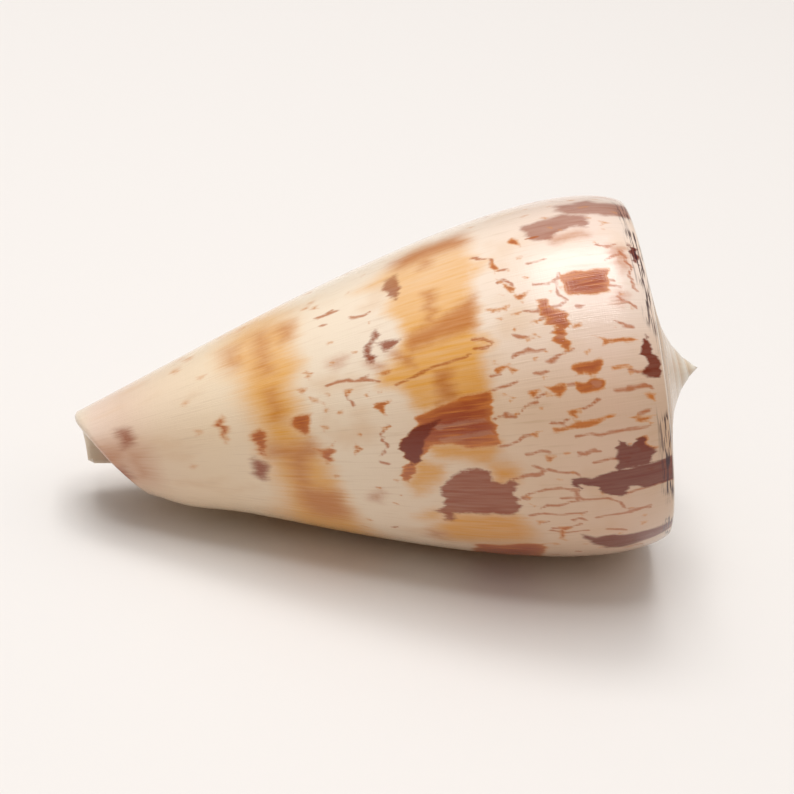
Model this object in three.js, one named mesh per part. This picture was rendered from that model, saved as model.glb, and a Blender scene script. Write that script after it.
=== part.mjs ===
// A cone shell, lying on its side with the aperture underneath, in millimetres and with +Z up.
// The shell is one piece: a wall that grew as a spiral round the axis, so that each turn wraps the one before.
// The shell's own axis runs from the narrow base at x = 0 to the pointed apex at x = LENGTH. A place on the wall
// is given by its age, the angle in radians grown back from the lip, and by how far along the turn's outline it is.
import * as THREE from "three";
import { ParametricGeometry } from "three/addons/geometries/ParametricGeometry.js";
import { mergeGeometries, mergeVertices } from "three/addons/utils/BufferGeometryUtils.js";

// Driving dimensions
const LENGTH = 60; // from the base to the apex
const SHOULDER_RADIUS = 18.1; // at the lip, where the last turn is widest
const WHORLS = 9; // turns from the lip to the first chamber
const TAPER_POWER = 1.55; // how fast the turns narrow towards the apex
const BASE_RADIUS = 4.9; // at the lip side of the base
const BODY_RISE = new THREE.Vector2(17.2, 11.3); // the control point that sets the slope above the base
const BODY_FULLNESS = new THREE.Vector2(45.6, 22.7); // the control point that swells the turn under the shoulder
const APEX_HEIGHT = 2.7; // of the sharp early spire
const APEX_REACH = 2.2; // radius over which the early spire flattens out
const SPIRE_SLOPE = 0.16; // of the later spire, rise per millimetre of radius
const GROWTH_BOW = THREE.MathUtils.degToRad(14); // how far the lip falls back at the base
const GROWTH_FRONT = 38; // millimetres up the axis where the lip stands furthest forward
const BASE_CUT = 0.15; // share of the outline that the base end has fallen back after one turn
const BASE_CUT_STARTS = THREE.MathUtils.degToRad(100);
const FOLD_HEIGHT = 0.65; // of the low swelling round the base, beside the aperture
const FOLD_CENTRE = 9; // millimetres up the axis
const FOLD_WIDTH = 4;
const FOLD_STARTS = THREE.MathUtils.degToRad(200);
const FOLD_FULL = THREE.MathUtils.degToRad(290);
const RAMP_SAG = 0.25; // hollow of the ramp between two turns
const SUTURE_STEP = 0.3; // how far a turn's shoulder stands above the next turn's ramp
const SUTURE_SLANT = 0.24; // radial lean of that step

// Aperture, a narrow slit between the last turn and the one before, which widens inside where the inner
// turns have been dissolved
const CAVITY_DEPTH = THREE.MathUtils.degToRad(330); // how far back the space runs from the lip
const DISSOLVED = 0.8; // share of the inner turn's radius that is gone where the space is widest
const DISSOLVED_FROM = THREE.MathUtils.degToRad(20);
const DISSOLVED_FULL = THREE.MathUtils.degToRad(80);
const COLUMN_TOP = 0.35; // share of the outline over which the inner column stays whole near the base
const ROOF = 0.93; // share of the outline, from the base, that the slit reaches at the lip
const ROOF_INSIDE = 0.66; // the same deeper in, where the shell is thick under the spire
const ROOF_FALLS_OVER = THREE.MathUtils.degToRad(50);
const LIP_WALL = 0.75; // thickness at the lip's edge
const INNER_WALL = 1.2; // thickness deeper in
const WALL_GROWS_OVER = THREE.MathUtils.degToRad(60);

// How the shell lies: the axis rises towards the apex, and the lip is turned round the axis from straight down
const REST_TILT = THREE.MathUtils.degToRad(12.2);
const REST_ROLL = THREE.MathUtils.degToRad(-57.4);

// Facets
const TURN_STEPS = 60;
const OUTLINE_STEPS = 22;
const ROOF_STEP = 15; // the outline step that the aperture's roof meets
const SPIRE_TURNS = 7; // turns modelled as a ribbon; the tip is one small cone
const WELD = 1e-3;

const TURN = 2 * Math.PI;
const STEP = TURN / TURN_STEPS;
const CAVITY_STEPS = Math.round(CAVITY_DEPTH / STEP);
const CAVITY_AGE = CAVITY_STEPS * STEP;

// How much smaller the wall's radius is at an age than at the lip
function shrink(age) {
  return SHOULDER_RADIUS * (1 - (1 - age / (TURN * WHORLS)) ** TAPER_POWER);
}

function shoulderRadius(age) {
  return SHOULDER_RADIUS - shrink(age);
}

// Height of the spire's outline, along the axis, at a radius
function spireHeight(radius) {
  return LENGTH - APEX_HEIGHT * (1 - Math.exp(-radius / APEX_REACH)) - SPIRE_SLOPE * radius;
}

const OUTLINE = new THREE.CubicBezierCurve(
  new THREE.Vector2(0, BASE_RADIUS),
  BODY_RISE,
  BODY_FULLNESS,
  new THREE.Vector2(spireHeight(SHOULDER_RADIUS), SHOULDER_RADIUS),
);

// A point from its height along the axis, its radius and its age. Growth lines bow back towards both ends.
function place(height, radius, age, target) {
  const angle = age + GROWTH_BOW * (1 - height / GROWTH_FRONT) ** 2;
  return target.set(height, radius * Math.cos(angle), radius * Math.sin(angle));
}

// The outer face of the wall. Each turn's shoulder stands a little higher up the axis than the next turn's.
function outline(along, age) {
  const point = OUTLINE.getPoint(along);
  const rise = spireHeight(shoulderRadius(age)) - OUTLINE.v3.x;
  const swelling = Math.exp(-(((point.x - FOLD_CENTRE) / FOLD_WIDTH) ** 2));
  const fold = FOLD_HEIGHT * swelling * THREE.MathUtils.smoothstep(age, FOLD_STARTS, FOLD_FULL);
  return [point.x + rise * along ** 4, point.y - shrink(age) + fold];
}

// The same outline where the turn is inside the shell and partly dissolved
function innerOutline(along, age) {
  const [height, radius] = outline(along, age);
  const depth = THREE.MathUtils.smoothstep(age - TURN, DISSOLVED_FROM, DISSOLVED_FULL);
  const reach = THREE.MathUtils.smoothstep(along, BASE_CUT, COLUMN_TOP);
  return [height, radius * (1 - DISSOLVED * depth * reach)];
}

function wallThickness(age) {
  const deep = THREE.MathUtils.smoothstep(age, 0, WALL_GROWS_OVER);
  return THREE.MathUtils.lerp(LIP_WALL, INNER_WALL, deep);
}

// The space is high at the lip and lower inside; past its end the steps on the outline spread out again
function roofShare(age) {
  const depth = age % TURN;
  const past = THREE.MathUtils.smoothstep(depth, CAVITY_AGE, TURN);
  const inside = THREE.MathUtils.smoothstep(depth, 0, ROOF_FALLS_OVER) * (1 - past);
  return THREE.MathUtils.lerp(ROOF, ROOF_INSIDE, inside);
}

// Steps along the outline run from the base end to the aperture's roof, then in finer steps to the shoulder
function outlineShare(step, age) {
  const base = BASE_CUT * THREE.MathUtils.smoothstep(age, BASE_CUT_STARTS, TURN);
  const roof = roofShare(age);
  if (step <= ROOF_STEP) return THREE.MathUtils.lerp(base, roof, step / ROOF_STEP);
  return THREE.MathUtils.lerp(roof, 1, (step - ROOF_STEP) / (OUTLINE_STEPS - ROOF_STEP));
}

function onOuterFace(step, age, target = new THREE.Vector3()) {
  return place(...outline(outlineShare(step, age), age), age, target);
}

function onInnerFace(step, age, target = new THREE.Vector3()) {
  const [height, radius] = outline(outlineShare(step, age), age);
  return place(height, radius - wallThickness(age), age, target);
}

function onInnerTurn(step, age, target = new THREE.Vector3()) {
  const turnBefore = TURN + age;
  return place(...innerOutline(outlineShare(step, turnBefore), turnBefore), turnBefore, target);
}

// Across the ramp of the spire, from one turn's shoulder (0) to the foot (2) and the shoulder (3) of the turn before
function onRamp(row, age, target = new THREE.Vector3()) {
  const outer = shoulderRadius(age);
  const inner = shoulderRadius(age + TURN);
  const top = spireHeight(inner);
  if (row === 0) return place(spireHeight(outer), outer, age, target);
  if (row === 3) return place(top, inner, age, target);
  const share = Math.min(1, inner / outer);
  const step = SUTURE_STEP * share * Math.min(1, outer / SHOULDER_RADIUS + 0.2);
  const foot = inner + SUTURE_SLANT * share;
  if (row === 2) return place(top - step, foot, age, target);
  const middle = (outer + foot) / 2;
  return place((spireHeight(outer) + top - step) / 2 - RAMP_SAG * (outer / SHOULDER_RADIUS), middle, age, target);
}

// A sheet of quads between two numbered ranges; turned, its faces look the other way
function sheet(pointAt, across, up, turned = false) {
  const surface = (u, v, target) => {
    const column = (turned ? 1 - u : u) * across;
    return pointAt(column, v * up, target);
  };
  const geometry = new ParametricGeometry(surface, across, up);
  geometry.deleteAttribute("normal");
  geometry.deleteAttribute("uv");
  return geometry;
}

// A face with any outline, from its corners and their flattened copies
function plate(corners, flat, turned = false) {
  const geometry = new THREE.BufferGeometry().setFromPoints(corners);
  const clockwise = THREE.ShapeUtils.isClockWise(flat);
  const triangles = THREE.ShapeUtils.triangulateShape(clockwise ? [...flat].reverse() : flat, []);
  const index = triangles.flatMap((t) => {
    const real = clockwise ? t.map((i) => flat.length - 1 - i) : t;
    return clockwise === turned ? real : [...real].reverse();
  });
  return geometry.setIndex(index);
}

function range(from, to) {
  const step = from < to ? 1 : -1;
  return Array.from({ length: Math.abs(to - from) + 1 }, (_, i) => from + i * step);
}

function outerWall() {
  const lastTurn = sheet((c, r, p) => onOuterFace(r, c * STEP, p), TURN_STEPS, OUTLINE_STEPS);
  const turnBefore = sheet((c, r, p) => onInnerTurn(r, c * STEP, p), CAVITY_STEPS, ROOF_STEP);
  return [lastTurn, turnBefore];
}

function innerWall() {
  return sheet((c, r, p) => onInnerFace(r, c * STEP, p), CAVITY_STEPS, ROOF_STEP, true);
}

function lipEdge() {
  const edge = (c, r, p) => (c < 0.5 ? onOuterFace(r, 0, p) : onInnerFace(r, 0, p));
  return sheet(edge, 1, ROOF_STEP, true);
}

function cavityEnd() {
  const end = (c, r, p) => (c < 0.5 ? onInnerFace(r, CAVITY_AGE, p) : onInnerTurn(r, CAVITY_AGE, p));
  return sheet(end, 1, ROOF_STEP, true);
}

function cavityRoof() {
  const roof = (c, r, p) =>
    r < 0.5 ? onInnerFace(ROOF_STEP, c * STEP, p) : onInnerTurn(ROOF_STEP, c * STEP, p);
  return sheet(roof, CAVITY_STEPS, 1, true);
}

// The narrow end: the cut ends of the wall, rolled up like a leaf
function baseEnd() {
  const outside = range(0, TURN_STEPS + CAVITY_STEPS).map((c) => onOuterFace(0, c * STEP));
  const inside = range(CAVITY_STEPS, 0).map((c) => onInnerFace(0, c * STEP));
  const corners = [...outside, ...inside];
  return plate(corners, corners.map((p) => new THREE.Vector2(p.y, p.z)), true);
}

// Above the aperture, the lip's shoulder ends in a small face against the turn before
function shoulderEnd() {
  const lip = range(ROOF_STEP, OUTLINE_STEPS).map((r) => onOuterFace(r, 0));
  const ramp = [1, 2].map((row) => onRamp(row, 0));
  const before = range(OUTLINE_STEPS, ROOF_STEP).map((r) => onOuterFace(r, TURN));
  const corners = [...lip, ...ramp, ...before, onInnerFace(ROOF_STEP, 0)];
  return plate(corners, corners.map((p) => new THREE.Vector2(p.x, Math.hypot(p.y, p.z))));
}

function spire() {
  const ramps = sheet((c, r, p) => onRamp(Math.round(r), c * STEP, p), TURN_STEPS * SPIRE_TURNS, 3);
  return [ramps, apex()];
}

// The first turns, too small to step, close the spire in a cone
function apex() {
  const tip = new THREE.Vector3(LENGTH, 0, 0);
  const start = TURN * SPIRE_TURNS;
  const ring = range(0, TURN_STEPS).map((c) => onRamp(0, start + c * STEP));
  const lastStep = [2, 1].map((row) => onRamp(row, start));
  const rim = [...ring, ...lastStep, ring[0]];
  const corners = rim.slice(1).flatMap((p, i) => [rim[i], p, tip]);
  return new THREE.BufferGeometry().setFromPoints(corners);
}

function shellGeometry() {
  const faces = [
    ...outerWall(),
    innerWall(),
    lipEdge(),
    cavityEnd(),
    cavityRoof(),
    baseEnd(),
    shoulderEnd(),
    ...spire(),
  ].map((face) => (face.index ? face.toNonIndexed() : face));
  return mergeVertices(mergeGeometries(faces), WELD);
}

const pearl = new THREE.MeshStandardMaterial({ color: 0xe6d3b8, roughness: 0.28, metalness: 0 });

function makeShell() {
  const mesh = new THREE.Mesh(shellGeometry(), pearl);
  mesh.name = "cone_shell";
  mesh.rotation.x = REST_ROLL;
  return mesh;
}

const shell = new THREE.Group();
shell.add(makeShell());
shell.rotation.y = -REST_TILT;

// The origin is under the middle of the shell, on the surface that it lies on
const object = new THREE.Group();
object.add(shell);
const reach = new THREE.Box3().setFromObject(object, true);
shell.position.set(-(reach.min.x + reach.max.x) / 2, -(reach.min.y + reach.max.y) / 2, -reach.min.z);

export default object;
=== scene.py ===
"""A cone shell lying on its side on a plain pale floor, lit by a ring of studio light.

The shell grew as a spiral, so one growth rule makes the whole of it: a template mesh carries each
point's age and its place on the turn's outline, and a Geometry Nodes tree turns those into positions.
The colour pattern is laid on afterwards, in millimetres up the axis and degrees round it.
"""
import logging
import math
from dataclasses import dataclass, fields
from enum import Enum

import bpy
import numpy as np
from mathutils import Matrix, Vector


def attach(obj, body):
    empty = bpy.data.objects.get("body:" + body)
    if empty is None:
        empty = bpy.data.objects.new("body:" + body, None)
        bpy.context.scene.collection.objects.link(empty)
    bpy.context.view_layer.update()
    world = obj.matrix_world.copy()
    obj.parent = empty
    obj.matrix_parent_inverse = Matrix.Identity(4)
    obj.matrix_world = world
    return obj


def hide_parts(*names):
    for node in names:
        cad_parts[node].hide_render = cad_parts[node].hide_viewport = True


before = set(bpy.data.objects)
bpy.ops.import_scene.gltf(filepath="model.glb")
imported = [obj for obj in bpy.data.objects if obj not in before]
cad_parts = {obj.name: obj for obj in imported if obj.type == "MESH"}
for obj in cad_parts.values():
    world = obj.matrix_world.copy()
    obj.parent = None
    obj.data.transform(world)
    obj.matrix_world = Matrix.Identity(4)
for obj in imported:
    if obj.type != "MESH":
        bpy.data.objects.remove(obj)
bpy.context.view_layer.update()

log = logging.getLogger("cone_shell")

MM = 0.001
TURN = 2 * math.pi
TINY = 1e-9  # keeps a division from failing

# Attributes of the finished mesh, next to one for each layer of pigment
GROWN = "grown"  # height up the axis, arc round the shoulder and age
UNDER_RIDGE = "under_ridge"  # how far a place is below the ridge of its own turn
SOFTNESS = "softness"  # how soft the marks' edges are
HAIR = "hair"  # minus the distance to the nearest thin line


# ---------------------------------------------------------------------------------------------
# Node formulas


class Term:
    """A value inside a node tree, so that a rule reads as it would on paper."""

    def __init__(self, formula: "Formula", socket: bpy.types.NodeSocket) -> None:
        """Keep the socket that carries the value."""
        self.formula = formula
        self.socket = socket

    def __add__(self, other: "Term | float") -> "Term":
        """Sum."""
        return self.formula.math("ADD", self, other)

    def __radd__(self, other: float) -> "Term":
        """Sum with a number on the left."""
        return self.formula.math("ADD", other, self)

    def __sub__(self, other: "Term | float") -> "Term":
        """Difference."""
        return self.formula.math("SUBTRACT", self, other)

    def __rsub__(self, other: float) -> "Term":
        """Difference from a number."""
        return self.formula.math("SUBTRACT", other, self)

    def __mul__(self, other: "Term | float") -> "Term":
        """Product."""
        return self.formula.math("MULTIPLY", self, other)

    def __rmul__(self, other: float) -> "Term":
        """Product with a number on the left."""
        return self.formula.math("MULTIPLY", other, self)

    def __truediv__(self, other: "Term | float") -> "Term":
        """Quotient."""
        return self.formula.math("DIVIDE", self, other)

    def __neg__(self) -> "Term":
        """Opposite."""
        return self.formula.math("MULTIPLY", self, -1.0)


class Formula:
    """Writes arithmetic into a geometry or shader node tree."""

    # A Mix node's factor and two inputs, by what it mixes, because their names are all alike
    mixed_colours: tuple[int, int, int] = (0, 6, 7)
    mixed_floats: tuple[int, int, int] = (0, 2, 3)
    mixed_colour: int = 2  # the output for a colour

    def __init__(self, tree: bpy.types.NodeTree) -> None:
        """Keep the tree that the nodes go into."""
        self.tree = tree

    def node(self, kind: str, **settings: object) -> bpy.types.Node:
        """Add a node.

        Args:
            kind: Blender's type name of the node.
            settings: properties of the node.

        Returns:
            The new node.
        """
        made = self.tree.nodes.new(kind)
        for name, value in settings.items():
            setattr(made, name, value)
        return made

    def feed(self, socket: bpy.types.NodeSocket, value: "Term | float | tuple") -> None:
        """Link a term to a socket, or set the socket to a constant."""
        if isinstance(value, Term):
            self.tree.links.new(value.socket, socket)
        else:
            socket.default_value = value

    def math(self, operation: str, *terms: "Term | float") -> Term:
        """One Math node.

        Args:
            operation: Blender's name of the operation.
            terms: its inputs, in order.

        Returns:
            The node's result.
        """
        made = self.node("ShaderNodeMath", operation=operation)
        for socket, term in zip(made.inputs, terms):
            self.feed(socket, term)
        return Term(self, made.outputs[0])

    def smoothstep(self, value: "Term", low: float, high: float) -> Term:
        """Zero below low, one above high, and an S curve between."""
        made = self.node("ShaderNodeMapRange", interpolation_type="SMOOTHSTEP")
        for name, term in (("Value", value), ("From Min", low), ("From Max", high)):
            self.feed(made.inputs[name], term)
        return Term(self, made.outputs[0])

    def attribute(self, name: str, output: str = "Fac") -> Term:
        """What the mesh stores under a name, in a shader."""
        made = self.node("ShaderNodeAttribute", attribute_name=name)
        return Term(self, made.outputs[output])

    def stretched(self, across: Term, round_: Term) -> Term:
        """A place for a texture, from two numbers."""
        made = self.node("ShaderNodeCombineXYZ")
        self.feed(made.inputs[0], across)
        self.feed(made.inputs[1], round_)
        return Term(self, made.outputs[0])

    def noise(self, place: Term, scale: float, detail: float) -> Term:
        """Even noise from zero to one."""
        made = self.node("ShaderNodeTexNoise")
        self.feed(made.inputs["Vector"], place)
        made.inputs["Scale"].default_value = scale
        made.inputs["Detail"].default_value = detail
        return Term(self, made.outputs[0])

    def ramp(self, value: Term, stops: list[tuple[float, tuple]]) -> Term:
        """A colour that changes along a value."""
        made = self.node("ShaderNodeValToRGB")
        elements = made.color_ramp.elements
        while len(elements) < len(stops):
            elements.new(0.5)
        for element, (at, colour) in zip(elements, stops):
            element.position = at
            element.color = colour
        self.feed(made.inputs[0], value)
        return Term(self, made.outputs[0])

    def blend(self, under: "Term | tuple", over: "Term | tuple", share: Term, how: str = "MIX") -> Term:
        """One colour over another, by Blender's name of the way."""
        made = self.node("ShaderNodeMix", data_type="RGBA", blend_type=how)
        for number, term in zip(self.mixed_colours, (share, under, over)):
            self.feed(made.inputs[number], term)
        return Term(self, made.outputs[self.mixed_colour])

    def lerp(self, low: "Term | float", high: "Term | float", share: "Term | float") -> Term:
        """Straight-line blend of two values."""
        made = self.node("ShaderNodeMix", data_type="FLOAT", clamp_factor=False)
        for number, term in zip(self.mixed_floats, (share, low, high)):
            self.feed(made.inputs[number], term)
        return Term(self, made.outputs[0])


# ---------------------------------------------------------------------------------------------
# The growth rule


@dataclass(frozen=True)
class Growth:
    """Sizes of the shell in millimetres and radians, the same as the solid's."""

    length: float = 60.0
    shoulder_radius: float = 18.1
    whorls: float = 9.0
    taper_power: float = 1.55
    base_radius: float = 4.9
    rise_height: float = 17.2
    rise_radius: float = 11.3
    fullness_height: float = 45.6
    fullness_radius: float = 22.7
    apex_height: float = 2.7
    apex_reach: float = 2.2
    spire_slope: float = 0.16
    growth_bow: float = math.radians(14)
    growth_front: float = 38.0
    base_cut: float = 0.15
    base_cut_starts: float = math.radians(100)
    fold_height: float = 0.65
    fold_centre: float = 9.0
    fold_width: float = 4.0
    fold_starts: float = math.radians(200)
    fold_full: float = math.radians(290)
    ramp_sag: float = 0.25
    suture_step: float = 0.3
    suture_slant: float = 0.24
    cavity_depth: float = math.radians(330)
    dissolved: float = 0.8
    dissolved_from: float = math.radians(20)
    dissolved_full: float = math.radians(80)
    column_top: float = 0.35
    roof: float = 0.93
    roof_inside: float = 0.66
    roof_falls_over: float = math.radians(50)
    lip_wall: float = 0.75
    inner_wall: float = 1.2
    wall_grows_over: float = math.radians(60)
    rest_tilt: float = math.radians(12.2)
    rest_roll: float = math.radians(-57.4)
    crest_cut: float = 0.1
    crest_reach: float = 0.35
    column_foot: float = 8.2

    def girth(self, height: float) -> float:
        """Radius of the last turn at a height up the axis, both in millimetres."""
        t = np.linspace(0, 1, 60)
        flat = self.apex_height + self.spire_slope * self.shoulder_radius
        heights = (0.0, self.rise_height, self.fullness_height, self.length - flat)
        radii = (self.base_radius, self.rise_radius, self.fullness_radius, self.shoulder_radius)
        weights = ((1 - t) ** 3, 3 * (1 - t) ** 2 * t, 3 * (1 - t) * t * t, t**3)
        along, across = (sum(w * v for w, v in zip(weights, values)) for values in (heights, radii))
        return float(np.interp(height, along, across))

    def ridge(self, age: np.ndarray) -> np.ndarray:
        """Height of the shoulder's ridge at an age, in millimetres."""
        left = np.maximum(1 - age / (TURN * self.whorls), 0)
        radius = self.shoulder_radius * left**self.taper_power
        early = self.apex_height * (1 - np.exp(-radius / self.apex_reach))
        return self.length - early - self.spire_slope * radius

    def standing(self, apex: Vector) -> Vector:
        """How far the shell moves so that its apex comes to the given point, in metres."""
        tip = Vector((math.cos(self.rest_tilt), 0.0, math.sin(self.rest_tilt))) * self.length * MM
        return apex - tip


class Carried(Enum):
    """What each point of the template carries for the growth rule to read."""

    AGE = "age"  # radians grown back from the lip
    UP = "up"  # 0 at the base end, 1 at the roof of the aperture, 2 at the shoulder
    INSET = "inset"  # 0 on the outer face of the wall, 1 on the inner
    FRONT = "front"  # millimetres forward of the lip, on its rounded edge
    BELOW = "below"  # millimetres below the base end, on its rounded edge
    INSIDE = "inside"  # 1 on the sheets inside the aperture
    RAMP = "ramp"  # 0 outer shoulder, 1 foot, 2 shoulder of the turn before; under 0 off the ramp
    INWARD = "inward"  # share of the way to the axis, on the closed base of the column


class ShellTemplate:
    """The sheets that the shell is welded from, as rows and columns of points with no shape yet."""

    fine_from: float = math.radians(114)
    fine_to: float = math.radians(303)
    fine_step: float = math.radians(0.75)
    coarse_step: float = math.radians(3)
    low_rows: int = 156  # from the base to the roof of the aperture
    inner_every: int = 6  # the sheets inside keep one row in so many
    high_rows: int = 16
    edge_rows: int = 5  # round the lip and the base
    foot_rows: int = 8  # from the column to the axis
    ramp_rows_low: int = 7  # across the ramp between two turns
    crowding: float = 1.7  # how much closer the rows stand towards the shoulder
    spire_turns: int = 8
    same: float = 1e-6  # radians between two ages that count as one

    def __init__(self, growth: Growth) -> None:
        """Start an empty template."""
        self.growth = growth
        self.cavity = growth.cavity_depth
        self.rows: list[np.ndarray] = []
        self.faces: list[tuple[int, ...]] = []
        self.count = 0

    def columns(self, start: float, end: float) -> np.ndarray:
        """Ages of the columns between two ages, fine on the side that faces up.

        Args:
            start: first age in radians.
            end: last age in radians.

        Returns:
            Rising ages that repeat turn by turn.
        """
        fine = np.arange(self.fine_from, self.fine_to + self.same, self.fine_step)
        before = np.arange(0.0, self.fine_from - self.same, self.coarse_step)
        after = np.arange(self.fine_to + self.coarse_step, TURN - self.same, self.coarse_step)
        one = np.unique(np.round(np.concatenate([before, fine, after, [self.cavity]]), 9))
        ages = np.concatenate([one + TURN * k for k in range(self.spire_turns + 2)])
        ages = ages[(ages >= start - self.same) & (ages <= end + self.same)]
        if abs(ages[-1] - end) > self.same:
            ages = np.append(ages, end)
        return ages

    def sheet(self, values: dict[Carried, np.ndarray], turned: bool = False) -> np.ndarray:
        """Add a grid of quads.

        Args:
            values: arrays of one shape (columns, rows) for what the points carry; the rest is at rest.
            turned: whether its faces look the other way.

        Returns:
            The indices of its points, as (columns, rows).
        """
        shape = np.broadcast_shapes(*(np.shape(v) for v in values.values()))
        index = self.points(values, shape)
        a, b, c, d = index[:-1, :-1], index[1:, :-1], index[1:, 1:], index[:-1, 1:]
        quads = np.stack([a, d, c, b] if turned else [a, b, c, d], -1).reshape(-1, 4)
        self.faces += [tuple(q) for q in quads.tolist()]
        return index

    def points(self, values: dict[Carried, np.ndarray], shape: tuple[int, ...]) -> np.ndarray:
        """Add points that carry the given values.

        Args:
            values: arrays that broadcast to the shape.
            shape: how the points are laid out.

        Returns:
            Their indices in that shape.
        """
        rest = {Carried.RAMP: -1.0}
        made = np.stack([np.broadcast_to(values.get(k, rest.get(k, 0.0)), shape) for k in Carried], -1)
        self.rows.append(made.reshape(-1, len(Carried)).astype(float))
        index = np.arange(self.count, self.count + int(np.prod(shape))).reshape(shape)
        self.count += index.size
        return index

    def outer_ups(self) -> np.ndarray:
        """Rows of the outer wall, closer together near the shoulder."""
        low = np.linspace(0, 1, self.low_rows + 1)
        share = np.linspace(0, 1, self.high_rows + 1)[1:]
        return np.concatenate([low, 1 + 1 - (1 - share) ** self.crowding])

    def inner_ups(self) -> np.ndarray:
        """Rows of the sheets inside the aperture."""
        return np.linspace(0, 1, self.low_rows // self.inner_every + 1)

    def walls(self) -> None:
        """The last turn outside and inside, and the face of the turn before."""
        last, deep = self.columns(0, TURN)[:, None], self.columns(0, self.cavity)[:, None]
        ups, inner = self.outer_ups()[None], self.inner_ups()[None]
        self.sheet({Carried.AGE: last, Carried.UP: ups})
        lining = {Carried.AGE: deep, Carried.UP: inner, Carried.INSET: 1.0, Carried.INSIDE: 1.0}
        self.sheet(lining, turned=True)
        before = self.sheet({Carried.AGE: deep[1:] + TURN, Carried.UP: inner, Carried.INSIDE: 1.0})
        ups = self.outer_ups()[: self.low_rows + 1]
        self.fan(self.points({Carried.AGE: TURN, Carried.UP: ups}, ups.shape), before[0])

    def fan(self, first: np.ndarray, second: np.ndarray) -> None:
        """Join two columns of points, one of which has several rows to each row of the other.

        Args:
            first: the column with the lower age.
            second: the next column.
        """
        coarse = min(len(first), len(second)) - 1
        for i in range(coarse):
            low, high = (
                column[i * (len(column) - 1) // coarse : (i + 1) * (len(column) - 1) // coarse + 1].tolist()
                for column in (first, second)
            )
            self.faces.append((*low[::-1], *high))

    def round_edge(self) -> tuple[np.ndarray, np.ndarray]:
        """Half a circle across the wall.

        Returns:
            How far across the wall each row is, and how far out it stands as a share of the wall.
        """
        t = np.linspace(0, math.pi, self.edge_rows + 1)
        return (1 - np.cos(t)) / 2, np.sin(t) / 2

    def lip(self) -> None:
        """The rounded lip, whose last strip meets the wider-spaced rows inside."""
        inset, out = self.round_edge()
        ups = self.outer_ups()[: self.low_rows + 1]
        values = {Carried.AGE: 0.0, Carried.UP: ups[None], Carried.INSET: inset[:-1, None]}
        values[Carried.FRONT] = (out * self.growth.lip_wall)[:-1, None]
        edge = self.sheet(values, turned=True)
        ups = self.inner_ups()
        inner = self.points({Carried.UP: ups, Carried.INSET: 1.0, Carried.INSIDE: 1.0}, ups.shape)
        self.fan(inner, edge[-1])

    def base(self) -> None:
        """The narrow end: a rounded rim, then the closed foot of the column inside it."""
        inset, out = self.round_edge()
        ages = self.columns(0, self.cavity)
        wall = self.growth.inner_wall
        values = {Carried.AGE: ages[:, None], Carried.INSET: inset[None], Carried.BELOW: (out * wall)[None]}
        rim = self.sheet(values, turned=True)
        rolled = self.columns(self.cavity, self.cavity + TURN)
        inward = np.linspace(0, 1, self.foot_rows + 1)
        self.sheet({Carried.AGE: rolled[:, None], Carried.INWARD: inward[None]}, turned=True)
        first = self.points({Carried.AGE: self.cavity, Carried.INWARD: inward}, (len(inward),))
        last = self.points({Carried.AGE: self.cavity + TURN, Carried.INWARD: inward}, (len(inward),))
        lip = self.points({Carried.INSET: inset, Carried.FRONT: out * self.growth.lip_wall}, inset.shape)
        self.faces.append(tuple(int(i) for i in (*rim[0], *lip[-2:0:-1])))
        self.faces.append(tuple(int(i) for i in (*rim[-1], *last[:-1], *first[:0:-1])))

    def cavity_ends(self) -> None:
        """The far end of the space and its roof."""
        ups, deep = self.inner_ups(), self.columns(0, self.cavity)
        side = {Carried.UP: ups[None], Carried.INSIDE: 1.0}
        ends = np.array([[0.0], [TURN]])
        self.sheet({Carried.AGE: self.cavity + ends, Carried.INSET: 1 - ends / TURN, **side}, turned=True)
        roof = {Carried.UP: 1.0, Carried.INSIDE: 1.0, Carried.INSET: 1 - ends.T / TURN}
        self.sheet({Carried.AGE: deep[:, None] + ends.T, **roof}, turned=True)

    def ramp_rows(self) -> np.ndarray:
        """Rows across the ramp between two turns, closer together at its edges."""
        ramp = (1 - np.cos(np.linspace(0, math.pi, self.ramp_rows_low + 1))) / 2
        return np.concatenate([ramp, [1.5, 2.0]])

    def spire(self) -> None:
        """The ramps of the spire and its tip."""
        ages = self.columns(0, TURN * self.spire_turns)[:, None]
        self.sheet({Carried.AGE: ages, Carried.RAMP: self.ramp_rows()[None]})
        start = TURN * self.spire_turns
        ring = self.columns(start, start + TURN)
        edge = self.points({Carried.AGE: ring, Carried.RAMP: 0.0}, (len(ring),))
        rows = self.ramp_rows()[::-1]
        step = self.points({Carried.AGE: start, Carried.RAMP: rows[:-1]}, (len(rows) - 1,))
        tip = int(self.points({Carried.AGE: start, Carried.RAMP: 0.0, Carried.INWARD: 1.0}, (1,))[0])
        rim = [int(i) for i in (*edge, *step[1:], edge[0])]
        self.faces += [(a, b, tip) for a, b in zip(rim, rim[1:])]

    def shoulder_end(self) -> None:
        """The small face above the aperture, where the lip's shoulder stands against the turn before."""
        ups = self.outer_ups()[self.low_rows :]
        inset, out = (values[:0:-1] for values in self.round_edge())
        lip = self.points({Carried.UP: ups}, (len(ups),))
        rows = self.ramp_rows()[1:-1]
        ramp = self.points({Carried.RAMP: rows}, (len(rows),))
        before = self.points({Carried.AGE: TURN, Carried.UP: ups[::-1]}, (len(ups),))
        inside = (np.arange(len(inset)) == 0).astype(float)  # the first point ends the lining
        values = {Carried.UP: 1.0, Carried.INSET: inset, Carried.INSIDE: inside}
        values[Carried.FRONT] = out * self.growth.lip_wall
        wall = self.points(values, inset.shape)
        self.faces.append(tuple(int(i) for i in (*lip, *ramp, *before, *wall)))

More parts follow.
